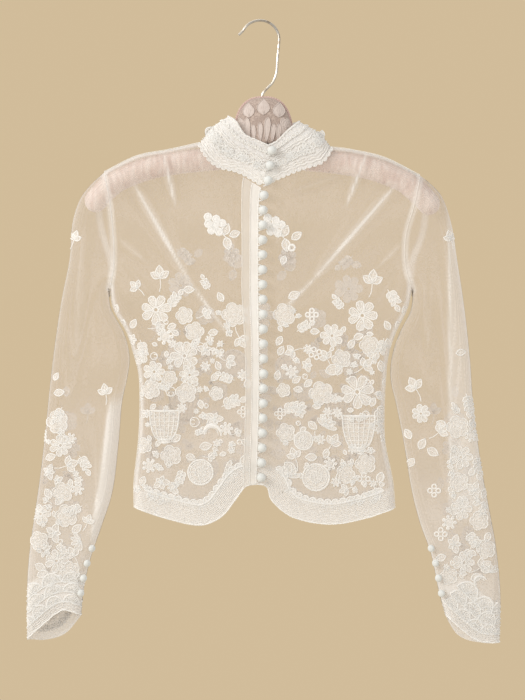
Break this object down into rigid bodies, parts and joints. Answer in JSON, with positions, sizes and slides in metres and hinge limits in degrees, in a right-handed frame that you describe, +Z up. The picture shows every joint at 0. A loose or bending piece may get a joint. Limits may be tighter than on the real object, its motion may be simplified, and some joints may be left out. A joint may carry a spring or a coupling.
{
  "type": "kebaya blouse on a padded hanger",
  "caption": "Sheer long-sleeved cropped blouse with stand collar, button front and lobed hem, hanging flat on a padded clothes hanger with a wire hook.",
  "frame": {"origin": "inner top of the hanger's wire hook, where it hangs on a nail, peg or rod", "axes": "+Z up along the hanging garment, -Y the garment's front, +X the wearer's left"},
  "size_m": [0.5693, 0.0472, 0.7491],
  "materials": {
    "tulle": "sheer ivory net, matt, with ivory corded floral embroidery",
    "lace": "dense ivory corded lace, matt",
    "band": "doubled ivory net band, matt",
    "button": "ivory satin-covered ball, soft sheen",
    "pad_satin": "dusty pink satin padding under the net",
    "cover_lace": "mauve satin under pale corded lace petals",
    "wire": "dull bent steel wire"
  },
  "bodies": {
    "root": {"front_right": "tulle", "front_left": "tulle", "back": "tulle", "sleeve_right": "tulle", "sleeve_left": "tulle", "collar": "lace", "placket_right": "band", "button_01": "button", "button_02": "button", "button_03": "button", "button_04": "button", "button_05": "button", "button_06": "button", "button_07": "button", "button_08": "button", "button_09": "button", "button_10": "button", "button_11": "button", "button_12": "button", "button_13": "button", "button_14": "button", "button_15": "button", "button_16": "button", "button_17": "button", "button_18": "button", "button_19": "button", "button_20": "button", "button_21": "button", "button_22": "button", "button_23": "button", "cuff_button_right_1": "button", "cuff_button_right_2": "button", "cuff_button_right_3": "button", "cuff_button_right_4": "button", "cuff_button_left_1": "button", "cuff_button_left_2": "button", "cuff_button_left_3": "button", "cuff_button_left_4": "button", "hanger_pad": "pad_satin", "hanger_neck_cover": "cover_lace", "hanger_hook": "wire"}
  },
  "joints": []
}
